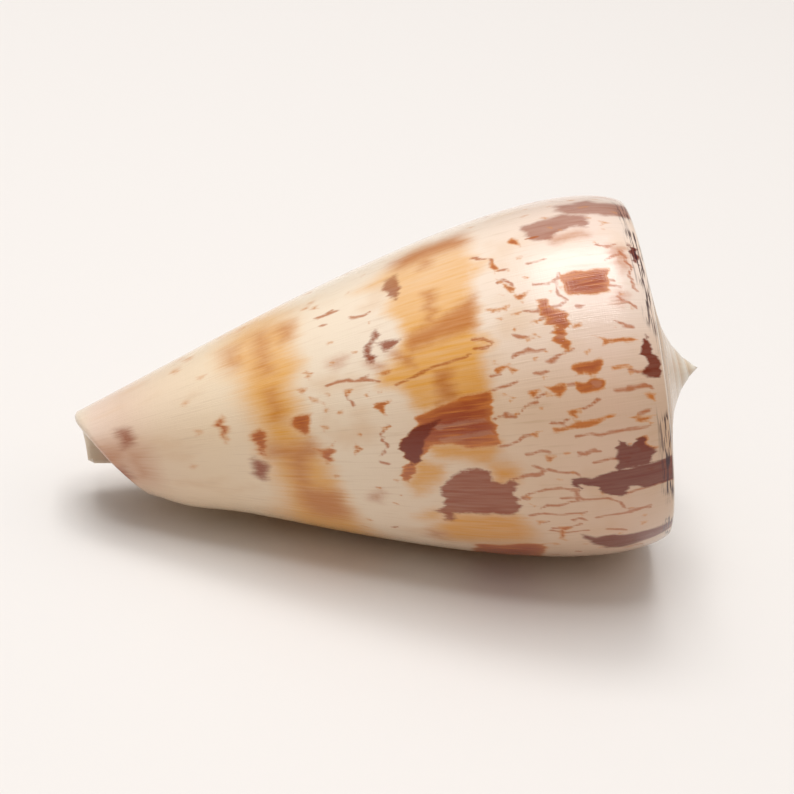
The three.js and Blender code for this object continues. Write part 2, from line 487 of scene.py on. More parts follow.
    def build(self) -> bpy.types.Mesh:
        """Make the template mesh.

        Returns:
            A mesh at the origin whose points carry what the growth rule reads.
        """
        for part in (self.walls, self.lip, self.base, self.cavity_ends, self.spire, self.shoulder_end):
            part()
        carried = np.concatenate(self.rows)
        mesh = bpy.data.meshes.new("shell_template")
        mesh.from_pydata(np.zeros((self.count, 3)), [], self.faces)
        for column, kind in enumerate(Carried):
            layer = mesh.attributes.new(kind.value, "FLOAT", "POINT")
            layer.data.foreach_set("value", carried[:, column].astype(np.float32))
        return mesh


class GrowthTree:
    """The growth rule as a Geometry Nodes tree with a named input for each size."""

    top_power: float = 4.0  # how much more the wall's top follows the shoulder down than its middle
    nudge: float = 1e-5  # radians that make a whole turn count as the start of the next
    outline_end: float = 30.0  # millimetres of outline to a unit of its share, at the shoulder
    crest_lean: tuple[float, float] = (0.81, 0.58)  # down and inwards, the way that a crest is cut
    small_share: float = 0.2  # of the steps and crests that even the first turns have
    before_share: float = 0.3  # of a crest's reach, on the step up to the turn before
    thin: float = 0.5  # least radius in millimetres that the lip's rounding is turned by
    weld: float = 2e-6  # metres

    def __init__(self, growth: Growth, shift: Vector, material: bpy.types.Material) -> None:
        """Keep the sizes, where the shell stands and what it is finished with."""
        self.growth = growth
        self.shift = shift
        self.material = material
        self.tree = bpy.data.node_groups.new("shell_growth", "GeometryNodeTree")
        self.formula = Formula(self.tree)

    def inputs(self) -> dict[str, Term]:
        """Returns:
            A term for each size, by its field's name.
        """
        face = self.tree.interface
        face.new_socket("Geometry", in_out="INPUT", socket_type="NodeSocketGeometry")
        face.new_socket("Geometry", in_out="OUTPUT", socket_type="NodeSocketGeometry")
        for size in fields(Growth):
            name = size.name.replace("_", " ").capitalize()
            face.new_socket(name, in_out="INPUT", socket_type="NodeSocketFloat")
        self.source = self.formula.node("NodeGroupInput")
        sockets = list(self.source.outputs)[1:]
        return {size.name: Term(self.formula, s) for size, s in zip(fields(Growth), sockets)}

    def carried(self, kind: Carried) -> Term:
        """What each point carries of one kind."""
        made = self.formula.node("GeometryNodeInputNamedAttribute", data_type="FLOAT")
        made.inputs["Name"].default_value = kind.value
        return Term(self.formula, made.outputs["Attribute"])

    def spire_height(self, radius: Term, size: dict[str, Term]) -> Term:
        """Height of the spire's outline at a radius."""
        f = self.formula
        flat = 1.0 - f.math("EXPONENT", -(radius / size["apex_reach"]))
        return size["length"] - size["apex_height"] * flat - size["spire_slope"] * radius

    def shoulder(self, age: Term, size: dict[str, Term]) -> Term:
        """Radius of the shoulder at an age."""
        f = self.formula
        left = f.math("MAXIMUM", 1.0 - age / (size["whorls"] * TURN), 0.0)
        return size["shoulder_radius"] * f.math("POWER", left, size["taper_power"])

    def on_wall(self, size: dict[str, Term], age: Term) -> tuple[Term, Term, Term]:
        """Height and radius of a point of the wall, and how near the shoulder it is.

        Args:
            size: the tree's inputs.
            age: the point's age.

        Returns:
            Height, radius and nearness to the shoulder's crest.
        """
        f = self.formula
        up, inside = self.carried(Carried.UP), self.carried(Carried.INSIDE)
        base = size["base_cut"] * f.smoothstep(age, size["base_cut_starts"], TURN)
        depth = f.math("FLOORED_MODULO", age + self.nudge, TURN)
        past = f.smoothstep(depth, size["cavity_depth"], TURN)
        falls = inside * f.smoothstep(depth, 0.0, size["roof_falls_over"]) * (1.0 - past)
        roof = f.lerp(size["roof"], size["roof_inside"], falls)
        low = f.lerp(base, roof, f.math("MINIMUM", up, 1.0))
        along = low + (1.0 - roof) * f.math("MAXIMUM", up - 1.0, 0.0)

        rest = 1.0 - along
        second, third = 3.0 * rest * rest * along, 3.0 * rest * along * along
        fourth = along * along * along
        end = self.spire_height(size["shoulder_radius"], size)
        height = second * size["rise_height"] + third * size["fullness_height"] + fourth * end
        radius = rest * rest * rest * size["base_radius"] + second * size["rise_radius"]
        radius = radius + third * size["fullness_radius"] + fourth * size["shoulder_radius"]

        near_fold = f.math("POWER", (height - size["fold_centre"]) / size["fold_width"], 2.0)
        swelling = f.math("EXPONENT", -near_fold)
        fold = size["fold_height"] * swelling * f.smoothstep(age, size["fold_starts"], size["fold_full"])
        shoulder = self.shoulder(age, size)
        rise = (self.spire_height(shoulder, size) - end) * f.math("POWER", along, self.top_power)
        radius = radius - (size["shoulder_radius"] - shoulder) + fold
        gone = f.smoothstep(age - TURN, size["dissolved_from"], size["dissolved_full"])
        reach = f.smoothstep(along, size["base_cut"], size["column_top"])
        radius = radius * (1.0 - size["dissolved"] * gone * reach)

        wall = f.lerp(size["lip_wall"], size["inner_wall"], f.smoothstep(age, 0.0, size["wall_grows_over"]))
        radius = radius - wall * self.carried(Carried.INSET)
        crest = f.math("EXPONENT", rest * -self.outline_end / size["crest_reach"]) * (1.0 - inside)
        return height + rise - self.carried(Carried.BELOW), radius, crest

    def on_ramp(self, size: dict[str, Term], age: Term) -> tuple[Term, Term, Term]:
        """Height and radius of a point of the spire's ramps, and how near a shoulder it is.

        Args:
            size: the tree's inputs.
            age: the point's age.

        Returns:
            Height, radius and nearness to a shoulder's crest.
        """
        f = self.formula
        outer, inner = self.shoulder(age, size), self.shoulder(age + TURN, size)
        share = f.math("MINIMUM", inner / outer, 1.0)
        small = f.math("MINIMUM", outer / size["shoulder_radius"] + self.small_share, 1.0)
        top = self.spire_height(inner, size)
        foot_height = top - size["suture_step"] * share * small
        foot = inner + size["suture_slant"] * share
        row = self.carried(Carried.RAMP)
        across = f.math("MAXIMUM", f.math("MINIMUM", row, 1.0), 0.0)
        climb = f.math("MAXIMUM", row - 1.0, 0.0)
        sag = 4.0 * size["ramp_sag"] * across * (1.0 - across) * outer / size["shoulder_radius"]
        height = f.lerp(self.spire_height(outer, size), foot_height, across) - sag
        height = height + (top - foot_height) * climb
        radius = f.lerp(outer, foot, across) + (inner - foot) * climb
        crest = f.math("EXPONENT", -(outer - radius) / size["crest_reach"])
        before = f.math("EXPONENT", -(radius - inner) / (size["crest_reach"] * self.before_share))
        small_inner = f.math("MINIMUM", inner / size["shoulder_radius"] + self.small_share, 1.0)
        crest = f.math("MAXIMUM", crest * small, before * small_inner)
        tip = self.carried(Carried.INWARD)
        return f.lerp(height, size["length"], tip), radius * (1.0 - tip), crest

    def build(self) -> bpy.types.NodeTree:
        """Write the tree.

        Returns:
            The tree, which ends in Realize Instances and Set Material.
        """
        f = self.formula
        size = self.inputs()
        age = self.carried(Carried.AGE)
        wall, ramp = self.on_wall(size, age), self.on_ramp(size, age)
        on_ramp = f.math("GREATER_THAN", self.carried(Carried.RAMP), -0.5)
        height, radius, crest = (f.lerp(a, b, on_ramp) for a, b in zip(wall, ramp))
        cut = size["crest_cut"] * crest
        height, radius = height - cut * self.crest_lean[0], radius - cut * self.crest_lean[1]
        to_axis = self.carried(Carried.INWARD) * (1.0 - on_ramp)
        height, radius = f.lerp(height, size["column_foot"], to_axis), radius * (1.0 - to_axis)
        front = self.carried(Carried.FRONT) / f.math("MAXIMUM", radius, self.thin)
        bow = size["growth_bow"] * f.math("POWER", 1.0 - height / size["growth_front"], 2.0)
        turned = age + bow - front
        angle = turned + size["rest_roll"]
        y, z = radius * f.math("COSINE", angle), radius * f.math("SINE", angle)
        c, s = f.math("COSINE", size["rest_tilt"]), f.math("SINE", size["rest_tilt"])
        place = f.node("ShaderNodeCombineXYZ")
        standing = (c * height - s * z, y, s * height + c * z)
        for socket, term, shift in zip(place.inputs, standing, self.shift):
            f.feed(socket, term * MM + shift)

        geometry = self.source.outputs[0]
        grown = f.node("ShaderNodeCombineXYZ")
        for socket, term in zip(grown.inputs, (height, turned * size["shoulder_radius"], age)):
            f.feed(socket, term)
        keep = f.node("GeometryNodeStoreNamedAttribute", data_type="FLOAT_VECTOR", domain="POINT")
        keep.inputs["Name"].default_value = GROWN
        f.feed(keep.inputs["Value"], Term(f, grown.outputs[0]))
        self.tree.links.new(geometry, keep.inputs["Geometry"])
        geometry = keep.outputs["Geometry"]
        move = f.node("GeometryNodeSetPosition")
        weld = f.node("GeometryNodeMergeByDistance")
        weld.inputs["Distance"].default_value = self.weld
        real, finish = f.node("GeometryNodeRealizeInstances"), f.node("GeometryNodeSetMaterial")
        finish.inputs["Material"].default_value = self.material
        self.tree.links.new(place.outputs[0], move.inputs["Position"])
        for step in (move, weld, real, finish, f.node("NodeGroupOutput")):
            self.tree.links.new(geometry, step.inputs[0])
            if step.outputs:
                geometry = step.outputs[0]
        return self.tree


# ---------------------------------------------------------------------------------------------
# The pattern


class Layer(Enum):
    """Layers of pigment in the shell, from the deepest to the one on top."""

    AMBER = "amber"  # see-through orange bands
    RUST = "rust"  # reddish brown clouds
    VIOLET = "violet"  # dull purple-brown clouds
    BROWN = "brown"  # dark red-brown blocks and tents
    DEEP = "deep"  # the darkest places
    PALE = "pale"  # cream showing through a mark


Corners = tuple[tuple[float, float], ...]


# Patches of pigment on the side that shows, with corners in millimetres up the axis and degrees round it
SEEN_MARKS: dict[Layer, tuple[Corners, ...]] = {
    Layer.AMBER: (
        ((28, 151), (30.5, 153), (31.5, 160), (30.8, 168), (31.8, 175), (32, 180), (31, 188), (29.4, 192),
         (29, 196), (31, 199), (32, 206), (33, 209), (39.2, 206), (38.9, 200), (38.6, 195), (39.2, 190),
         (38.6, 185), (38.9, 178), (38.6, 170), (39, 165), (39.6, 158), (39.2, 152), (39, 143), (38, 139),
         (34, 138), (31.5, 143), (29.5, 149)),
        ((32.3, 220), (39, 222), (38.7, 225.5), (38.3, 228.5), (36, 227), (33.5, 226)),
        ((31.5, 226), (34, 229), (33.6, 236), (31, 240), (30.8, 236)),
        ((38.2, 228), (40.5, 231), (40.4, 236), (38.5, 237)),
        ((33.5, 250), (40, 250.5), (41, 256), (41.3, 262), (40.8, 266), (37.5, 269), (33.4, 271),
         (32.6, 262)),
        ((15.5, 112), (20.5, 112), (21, 140), (22, 155), (21.6, 170), (22.2, 178), (21.2, 190), (21.6, 200),
         (20.9, 205), (22, 214), (22.5, 219), (23.5, 226), (24.5, 245), (25.5, 262), (27, 280), (28, 300),
         (19, 300), (18.5, 270), (19, 245), (18.4, 230), (18.2, 222), (17.8, 207), (17.3, 200), (16.5, 190),
         (16.4, 175), (15.2, 165), (15, 150), (15.2, 135)),
        ((30.8, 237), (32.8, 238), (31.2, 242.5)),
        ((31.2, 255), (31.9, 252), (32.9, 249.8), (33.2, 253), (32.4, 256)),
        ((38.4, 185.5), (39.6, 188), (39.7, 190.5), (38.8, 191.5), (38.2, 189)),
        ((38.2, 157), (40.4, 159.2), (40.2, 162.4), (39, 164)),
    ),
    Layer.RUST: (
        ((32, 139.5), (34, 137), (38.5, 137.5), (39.2, 145), (38.6, 147), (35, 146.5), (32.2, 147)),
        ((34.5, 147), (35.3, 147), (35.2, 152), (34.6, 152)),
        ((34.4, 165), (35.2, 165), (35.2, 180), (34.6, 180)),
        ((32.3, 180.5), (34.5, 178), (36, 176.5), (38.8, 171.5), (38.6, 184), (36.5, 184.5), (34, 185.5),
         (32.4, 187)),
        ((34.4, 195.5), (35.8, 195.5), (35.8, 206), (34.3, 207)),
        ((18.2, 217), (20, 218), (22.2, 216), (23, 222), (21.8, 225), (21.4, 232), (21.5, 240), (20.5, 240),
         (20.2, 230), (19.7, 224), (18.3, 223)),
        ((20.3, 240), (22, 241.5), (24.1, 243), (24.5, 250), (24.9, 256), (24.5, 262), (22.5, 265),
         (21.2, 262),
         (20.3, 252)),
        ((18.3, 150), (19, 150), (19.2, 178), (18.5, 178)),
        ((18.8, 188), (19.6, 188), (19.8, 203), (19.2, 203)),
        ((24.9, 183), (25.5, 182), (26.6, 182.3), (26.2, 184.5), (25.5, 185.3)),
        ((20.5, 152), (21.6, 153), (21.4, 162), (20.7, 162)),
        ((28.4, 187), (29.4, 188), (29.8, 190), (29.2, 190.5), (28.7, 189)),
        ((30.6, 184), (32.2, 188), (32.4, 192), (31.5, 190)),
        ((1.6, 205), (4.4, 208), (4.2, 232), (2.2, 240), (1.4, 225)),
        ((4.6, 210), (6.2, 216), (6.4, 246), (5, 252)),
        ((15.5, 153), (16, 153), (16.1, 166), (15.7, 166)),
        ((46, 156), (49.5, 155.5), (50, 157.5), (46.5, 159)),
        ((51.6, 170), (52.2, 165.5), (53, 167), (52.9, 171), (52.4, 173.5)),
        ((27.1, 243.5), (28.2, 241.5), (27.8, 246.5), (27, 246)),
        ((32.3, 264), (33.1, 264.5), (32.9, 270), (32.3, 269)),
        ((51.7, 163), (52.9, 163.5), (52.7, 173), (51.9, 172)),
        ((51.3, 180), (52.3, 182), (51.7, 185), (51, 184)),
    ),
    Layer.VIOLET: (
        ((47.8, 136), (49.5, 137), (51, 133.5), (52, 137), (56, 136), (56, 147), (52.5, 147.5), (50.5, 146),
         (48.8, 144.5), (47.8, 141)),
        ((44.2, 146.5), (46.2, 145.5), (48.2, 144.5), (50.2, 146.5), (50.2, 153.5), (48.5, 152.7),
         (47.4, 154),
         (46.2, 157), (45.3, 156), (44.4, 152)),
        ((30.9, 151), (32.1, 150), (32.2, 158), (31.8, 163.5), (31.1, 160), (30.5, 155.5)),
        ((29.3, 174), (28.7, 177.5), (28.2, 181.5), (28.5, 186.5), (29.2, 187.8), (29.5, 186), (28.9, 183),
         (29.1, 179), (29.7, 176)),
        ((29.6, 180.3), (30.6, 179.8), (31.6, 181), (31, 183.5), (30.3, 184)),
        ((16.3, 227.5), (16.8, 223.5), (17.9, 228), (17.8, 237), (17.2, 238), (16.5, 234)),
        ((34.5, 234), (35.5, 231.2), (37, 230.3), (38, 231.5), (38.3, 235.5), (39.2, 236.8), (40.2, 235),
         (40.5, 237.5), (40.2, 240), (40.4, 245), (40, 250), (37.5, 250.5), (36, 250.3), (34.4, 251),
         (34, 255),
         (33.3, 255.5), (33.4, 251.5), (32.5, 250), (33.6, 248.5), (33.9, 244), (33.4, 241.5), (33.8, 238)),
        ((1.8, 236), (3.8, 234), (4.4, 250), (3, 262), (1.8, 256)),
        ((3.9, 188), (4.9, 190), (5.2, 204), (4.3, 208)),
    ),
    Layer.BROWN: (
        ((32, 210.2), (34.2, 207.6), (36, 206.2), (36.3, 205), (39.3, 204.7), (39.2, 208.5), (38.7, 212),
         (39.1, 216), (39, 222.5), (36.5, 222.8), (35, 221), (33.2, 221.5), (32.4, 224.5), (31.8, 226.5),
         (31.4, 231), (30.9, 236), (30.3, 235), (30.1, 231.5), (30.7, 227.5), (30.5, 224), (30.2, 220.5),
         (30.8, 217.5), (31.6, 215.5), (32.2, 213)),
        ((28.3, 203.2), (30, 202.8), (29.6, 205.5), (29.3, 208.5), (28.9, 206)),
        ((28.7, 212.6), (29.6, 212.2), (29.2, 214.4)),
        ((25.7, 195.3), (26.7, 195.8), (26.3, 198.6)),
        ((27.6, 199), (28.1, 198.4), (28, 200.8)),
        ((39.4, 198), (41.3, 196.9), (40.6, 198.7), (40, 200.2), (39.7, 199.3)),
        ((41.1, 198), (41.8, 199.5), (41.2, 200.2)),
        ((42, 206.6), (43.1, 206.1), (42.9, 207.5), (42.5, 209.1), (42.2, 207.8)),
        ((43.6, 205.6), (44.2, 206.2), (45.7, 205.7), (45.3, 208), (44.9, 209.8), (44.5, 209.3),
         (44.2, 207.6)),
        ((45.4, 213.5), (46.8, 213.3), (46.3, 214.8), (46, 216.5), (45.8, 215)),
        ((42.1, 219.6), (42.9, 219.1), (42.6, 221.2)),
        ((43, 227.2), (44.3, 227.1), (43.7, 228.4), (43.5, 229.8), (43.2, 228.6)),
        ((43.7, 218.8), (45, 219.2), (46.2, 217.4), (49.5, 216.7), (49.3, 218), (47, 219.3), (45.2, 220.1),
         (44.2, 220.4)),
        ((50.5, 217.7), (52, 218.5), (53.4, 219), (52.4, 220), (51.8, 219.9)),
        ((52.2, 212), (53.4, 212.2), (53.2, 214.8), (52.8, 213.6)),
        ((41.3, 168.5), (41.9, 171.5), (42.7, 173.2), (42.4, 174.5), (42.1, 175), (41.7, 172.5)),
        ((42, 175.2), (42.6, 176), (43.6, 175.3), (43.1, 177.3), (42.4, 177.5)),
        ((39.3, 178.2), (40.4, 178.9), (41.7, 178.2), (41.4, 179.4), (40.2, 179.9)),
        ((40.3, 182), (40.9, 182), (40.7, 183.2)),
        ((41.6, 182), (42.8, 181.7), (42.4, 182.9)),
        ((41.8, 186.4), (42.3, 186.5), (42.1, 187.5)),
        ((43.5, 185.1), (44.2, 185.3), (43.9, 186.4)),
        ((43.1, 189.2), (43.6, 189.4), (43.4, 190.3)),
        ((43.2, 197), (43.8, 197.1), (43.5, 198.2)),
        ((44, 178.5), (45.2, 179.5), (45.6, 182.5), (46.6, 184.5), (46.8, 188), (46.2, 190.5), (46.6, 193.5),
         (46.2, 197.7), (45.7, 194.5), (45.1, 191.5), (45.5, 188.5), (44.7, 186.5), (44.4, 183)),
        ((46.8, 189.2), (47.6, 188.3), (47.9, 189), (47.2, 190.2)),
        ((48.3, 192.6), (49.5, 194.5), (51.5, 194.8), (52.8, 196), (51.5, 196.3), (49.9, 195.8), (49, 196.6),
         (49.2, 195)),
        ((46.3, 200.2), (47, 200), (48, 200.3), (49.4, 199.7), (49.2, 202), (48.8, 203.8), (48, 204.6),
         (47.4, 203.6), (46.8, 204.2), (46.5, 202.4)),
        ((46.5, 205.3), (47.3, 206.4), (48, 205.2), (49.3, 205.6), (49.3, 208.4), (48.3, 209.4), (47, 209.2),
         (46.4, 207.5)),
        ((49.9, 202.6), (51.5, 202.9), (51.8, 203.9), (50.8, 203.8), (50, 203.8)),
        ((46.7, 171.5), (51.1, 171.8), (51, 180), (49.3, 180.3), (47, 179.5)),
        ((51.4, 225), (52.4, 224.8), (52.6, 228.6), (53.4, 229.1), (52.5, 230.5), (51.5, 230)),
        ((42.8, 153.5), (43.2, 151.5), (43.9, 153.5), (43.6, 157.5)),
        ((40.8, 160.5), (41.4, 163), (41.1, 167), (40.7, 164)),
        ((29.3, 191.6), (30.7, 191.3), (30.2, 193.4), (29.6, 192.8)),
        ((22.5, 183.5), (22.9, 184), (23.2, 187.7), (22.7, 186)),
        ((21.8, 191.2), (22.8, 191.4), (22.3, 193.7)),
        ((22.7, 196), (23.5, 198.2), (23.2, 198.8), (22.8, 197.6)),
        ((25.1, 204.4), (25.8, 204.8), (25.4, 206.2)),
        ((21.1, 203), (22.7, 203.8), (22.3, 208), (22.2, 214), (21.6, 212), (20.8, 209), (20.6, 205.5)),
        ((24.5, 216.2), (24.2, 221), (24.1, 226), (23.6, 227.3), (23.1, 224), (22.2, 219.2), (23.2, 220.6),
         (23.9, 220)),
        ((26.6, 218.5), (26.7, 221), (26.2, 223.8), (25.9, 221.5)),
        ((26.7, 214.5), (27.1, 214.5), (26.9, 216)),
        ((16.8, 209.5), (17.7, 207), (18.3, 209.5), (18.2, 217), (18.1, 222.5), (17.6, 222), (17.2, 216)),
        ((13.4, 199.5), (14.1, 196.5), (14.5, 202), (14.8, 211), (14.5, 213.5), (14, 207)),
        ((43.7, 257), (44.8, 257), (44.5, 264), (44, 264), (44.2, 259.5)),
        ((41.7, 253.2), (42.6, 253.4), (42.2, 255.6)),
        ((36, 272), (38.3, 271), (40.2, 269), (42.6, 268), (42.5, 275), (42.3, 302), (36.2, 302),
         (35.7, 285)),
    ),
    Layer.DEEP: (
        ((30.2, 220.5), (31.2, 216.5), (32.4, 213.5), (34.5, 212.3), (33, 217), (32.3, 222), (31.9, 227),
         (30.9, 229), (30.6, 224.5)),
        ((49.8, 224.2), (50.3, 226.5), (50.9, 227.3), (51.4, 225), (52.2, 225), (52.4, 229), (53.2, 229.6),
         (52.4, 232), (52.5, 234.5), (49.4, 234.5), (49.5, 229)),
        ((45.2, 235.6), (47, 236.3), (48.3, 235), (51, 234.4), (55.4, 233.8), (55.4, 243.8), (52, 243),
         (50.5, 241), (49.6, 244.5), (48, 242.5), (47.3, 239.5), (46, 238.5), (45.7, 241.5)),
        ((52.8, 197.5), (53.3, 194), (53.8, 198), (54.2, 203), (54.2, 208), (53.3, 207.2), (52.3, 206),
         (53.1, 203.5), (52.9, 200.5)),
        ((53.4, 161.5), (54, 163.5), (54.1, 171), (53.5, 169)),
        ((46, 262), (47.5, 265), (49, 264), (51, 265.5), (55.4, 266), (55.4, 272), (52, 274), (50, 276),
         (48.5, 275), (47.2, 270), (46.5, 266)),
    ),
    Layer.PALE: (
        ((47.8, 206.3), (48.9, 206.2), (48.8, 208.1), (47.9, 208.4)),
        ((33.4, 214.2), (38.4, 213.4), (38.5, 214.4), (34, 216)),
        ((33.8, 219), (38.6, 217.2), (38.7, 218.6), (34.2, 220.6)),
        ((45.2, 190.6), (46.9, 191.2), (46.6, 192), (45.4, 191.7)),
    ),
}

# Thin wavy lines that cross the white bands, each from point to point
SEEN_HAIRS: tuple[Corners, ...] = (
    ((39.3, 205), (40.5, 204.3), (41.6, 203)),
    ((39.1, 214), (39.8, 212.4), (40.3, 213.4), (41, 214.1), (41.5, 212), (42, 210.6), (42.7, 210.4)),
    ((39, 222.9), (40.8, 222.2), (41.4, 220.6), (42.3, 220)),
    ((40.2, 235.5), (41, 233.8), (42.5, 233.2), (43.5, 231.8), (44.5, 233.3), (45.7, 233.5), (46, 235)),
    ((41, 243), (41.8, 240.5), (43, 239.2), (44.5, 238.9), (45.5, 240.5), (45.9, 243), (45.4, 244.6)),
    ((42.4, 247.6), (43, 246), (43.9, 246.3), (44.7, 245.8), (45.2, 244.8), (46.5, 244.2), (48.5, 244.8),
     (49.4, 247), (50, 249.6)),
    ((40.3, 243.6), (40.9, 242.4), (41.2, 243.4)),
    ((41.2, 195.5), (42, 194.5), (43.2, 193.7)),
    ((49.9, 209.3), (51.6, 210.3), (53.4, 209.8)),
    ((43.8, 165), (45.5, 165)),
    ((46, 226.7), (46.8, 227.9), (47.5, 226.5)),
    ((49.9, 243.6), (52, 242.9), (54.4, 243.3)),
    ((30.6, 197.4), (32.6, 195.5), (34.5, 193.6), (37.4, 192.2)),
    ((38, 190.6), (39.2, 191.2), (39.6, 189.8), (39.2, 188.2), (38.2, 187.4)),
    ((50.9, 189.4), (51.4, 190.9), (52.3, 191.6)),
    ((39.2, 200.6), (40.2, 200.2)),
    ((51.3, 181), (51.9, 184), (52.5, 184), (53.2, 186)),
    ((52.6, 165), (53, 172), (53.2, 180)),
    ((50.6, 162), (51.4, 163.4), (52.4, 162)),
    ((39, 156), (39.7, 156.6), (40.4, 158.5), (41, 162)),
    ((41.2, 170), (41.8, 169), (42.4, 172)),
    ((46.6, 171), (46.2, 175), (46.4, 180)),
    ((29.4, 212), (28.8, 216), (29.3, 220), (28.6, 224)),
    ((26.3, 196), (26.1, 200), (26.5, 203)),
    ((46.2, 222), (47.4, 221.4), (48.6, 222.2), (50.4, 221.6), (52.6, 222)),
    ((41.5, 226.5), (42.6, 225.6), (43.6, 226.2)),
    ((47.5, 231), (49, 230.2), (50.4, 231)),
    ((41, 250.6), (42.6, 249.8), (44.4, 250.8), (46.5, 250)),
    ((47.4, 253), (49, 252), (50.6, 252.6), (52.4, 251.4)),
    ((43, 259), (44.8, 260.4), (46.6, 259.4)),
)


class Skin:
    """The shell's surface as the pattern sees it: each point's height, arc and turn."""

    far: float = -4.0  # the signed distance that means nowhere near
    away: float = 9.0  # millimetres, more than any distance that is asked for
    margin: float = 2.0  # millimetres outside a mark over which its distance is worked out
    # Which chance, millimetres up and degrees round over which it changes, and its reach in the same
    # unit as what it wanders
    ragged_up: tuple[tuple[int, float, float, float], ...] = ((1, 5.0, 1.0, 0.34), (2, 1.2, 4.0, 0.2))
    ragged_round: tuple[int, float, float, float] = (3, 1.0, 4.0, 0.5)
    chance_rows: int = 70
    # The marks' softness in millimetres: at least, more towards the base, and more above and below
    soft: tuple[float, float, float] = (0.15, 0.42, 0.3)
    soft_base: tuple[float, float, float] = (30.0, 22.0, 1.3)  # where it starts, over what, and how
    soft_above: tuple[float, float] = (160.0, 35.0)  # degrees where it starts, and over how many
    soft_below: tuple[float, float] = (246.0, 40.0)

    def __init__(self, mesh: bpy.types.Mesh, growth: Growth) -> None:
        """Read what the growth rule stored."""
        self.mesh = mesh
        self.growth = growth
        grown = np.empty(len(mesh.vertices) * 3, np.float32)
        mesh.attributes[GROWN].data.foreach_get("vector", grown)
        grown = grown.reshape(-1, 3).astype(float)
        self.height = grown[:, 0]
        self.degrees = np.degrees(grown[:, 1] / growth.shoulder_radius)
        self.under_ridge = growth.ridge(grown[:, 2]) - self.height
        self.ragged_height = self.height + sum(self.wander(*way) for way in self.ragged_up)
        self.ragged_degrees = self.degrees + self.wander(*self.ragged_round)
        self.layers = {layer: np.full(len(grown), self.far) for layer in Layer}
        self.hair = np.full(len(grown), self.far)

    def wander(self, seed: int, across: float, round_: float, reach: float) -> np.ndarray:
        """Smooth chance over the skin.

        Args:
            seed: which chance.
            across: millimetres up the axis over which it changes.
            round_: degrees round the axis over which it changes.
            reach: the most that it comes to.

        Returns:
            A number for each point, from minus the reach to the reach.
        """
        around = round(360 / round_)
        chance = np.random.default_rng(seed).uniform(-reach, reach, (self.chance_rows, around))
        up, turned = np.clip(self.height / across, 0, self.chance_rows - 2), (self.degrees % 360) / round_
        low, first = up.astype(int), turned.astype(int)
        up, turned = up - low, turned - first
        here, after = first % around, (first + 1) % around
        below, above = (
            chance[row, here] * (1 - turned) + chance[row, after] * turned for row in (low, low + 1)
        )
        return below * (1 - up) + above * up

    def store(self, name: str, values: np.ndarray) -> None:
        """Keep one number per point on the mesh."""
        layer = self.mesh.attributes.new(name, "FLOAT", "POINT")
        layer.data.foreach_set("value", values.astype(np.float32))

    def near(self, corners: Corners) -> tuple[np.ndarray, np.ndarray, np.ndarray]:
        """Points round some corners, and both in flat millimetres.

        Args:
            corners: millimetres up the axis and degrees round it.

        Returns:
            Indices of the points, their places and the corners' places.
        """
        spots = np.array(corners, float)
        scale = math.radians(1) * self.growth.girth(spots[:, 0].mean())
        lowest, highest = spots.min(0), spots.max(0)
        turn = self.margin / scale
        up, turned = self.ragged_height, self.ragged_degrees
        inside = (up > lowest[0] - self.margin) & (up < highest[0] + self.margin)
        inside &= (turned > lowest[1] - turn) & (turned < highest[1] + turn)
        index = np.nonzero(inside)[0]
        places = np.stack([up[index], turned[index] * scale], -1)
        return index, places, spots * (1, scale)

    def to_path(self, places: np.ndarray, start: np.ndarray, end: np.ndarray) -> np.ndarray:
        """Distance from each place to a straight stretch."""
        along = end - start
        share = np.clip(((places - start) @ along) / max(along @ along, TINY), 0, 1)
        return np.linalg.norm(places - start - share[:, None] * along, axis=1)

    def lay(self, layer: Layer, corners: Corners) -> None:
        """Add a patch to a layer, as the signed distance to its edge."""
        index, places, spots = self.near(corners)
        if not len(index):
            return
        edge = np.full(len(index), self.away)
        inside = np.zeros(len(index), bool)
        for start, end in zip(spots, np.roll(spots, -1, axis=0)):
            edge = np.minimum(edge, self.to_path(places, start, end))
            crosses = (start[1] > places[:, 1]) != (end[1] > places[:, 1])
            slope = (end[0] - start[0]) / (end[1] - start[1] or TINY)
            inside ^= crosses & (places[:, 0] < start[0] + (places[:, 1] - start[1]) * slope)
        signed = np.where(inside, edge, -edge)
        self.layers[layer][index] = np.maximum(self.layers[layer][index], signed)

    def draw(self, corners: Corners) -> None:
        """Add a thin line, as minus the distance to it."""
        index, places, spots = self.near(corners)
        if not len(index):
            return
        gap = np.min([self.to_path(places, a, b) for a, b in zip(spots, spots[1:])], axis=0)
        self.hair[index] = np.maximum(self.hair[index], -gap)

    def finish(self) -> None:
        """Write the layers and how soft the marks are to the mesh."""
        for layer, values in self.layers.items():
            self.store(layer.value, values)
        self.store(HAIR, self.hair)
        self.store(UNDER_RIDGE, self.under_ridge)
        least, to_base, aside = self.soft
        base = np.clip((self.soft_base[0] - self.height) / self.soft_base[1], 0, 1) ** self.soft_base[2]
        above = np.clip((self.soft_above[0] - self.degrees) / self.soft_above[1], 0, 1)
        below = np.clip((self.degrees - self.soft_below[0]) / self.soft_below[1], 0, 1)
        self.store(SOFTNESS, least + to_base * base + aside * np.maximum(above, below))


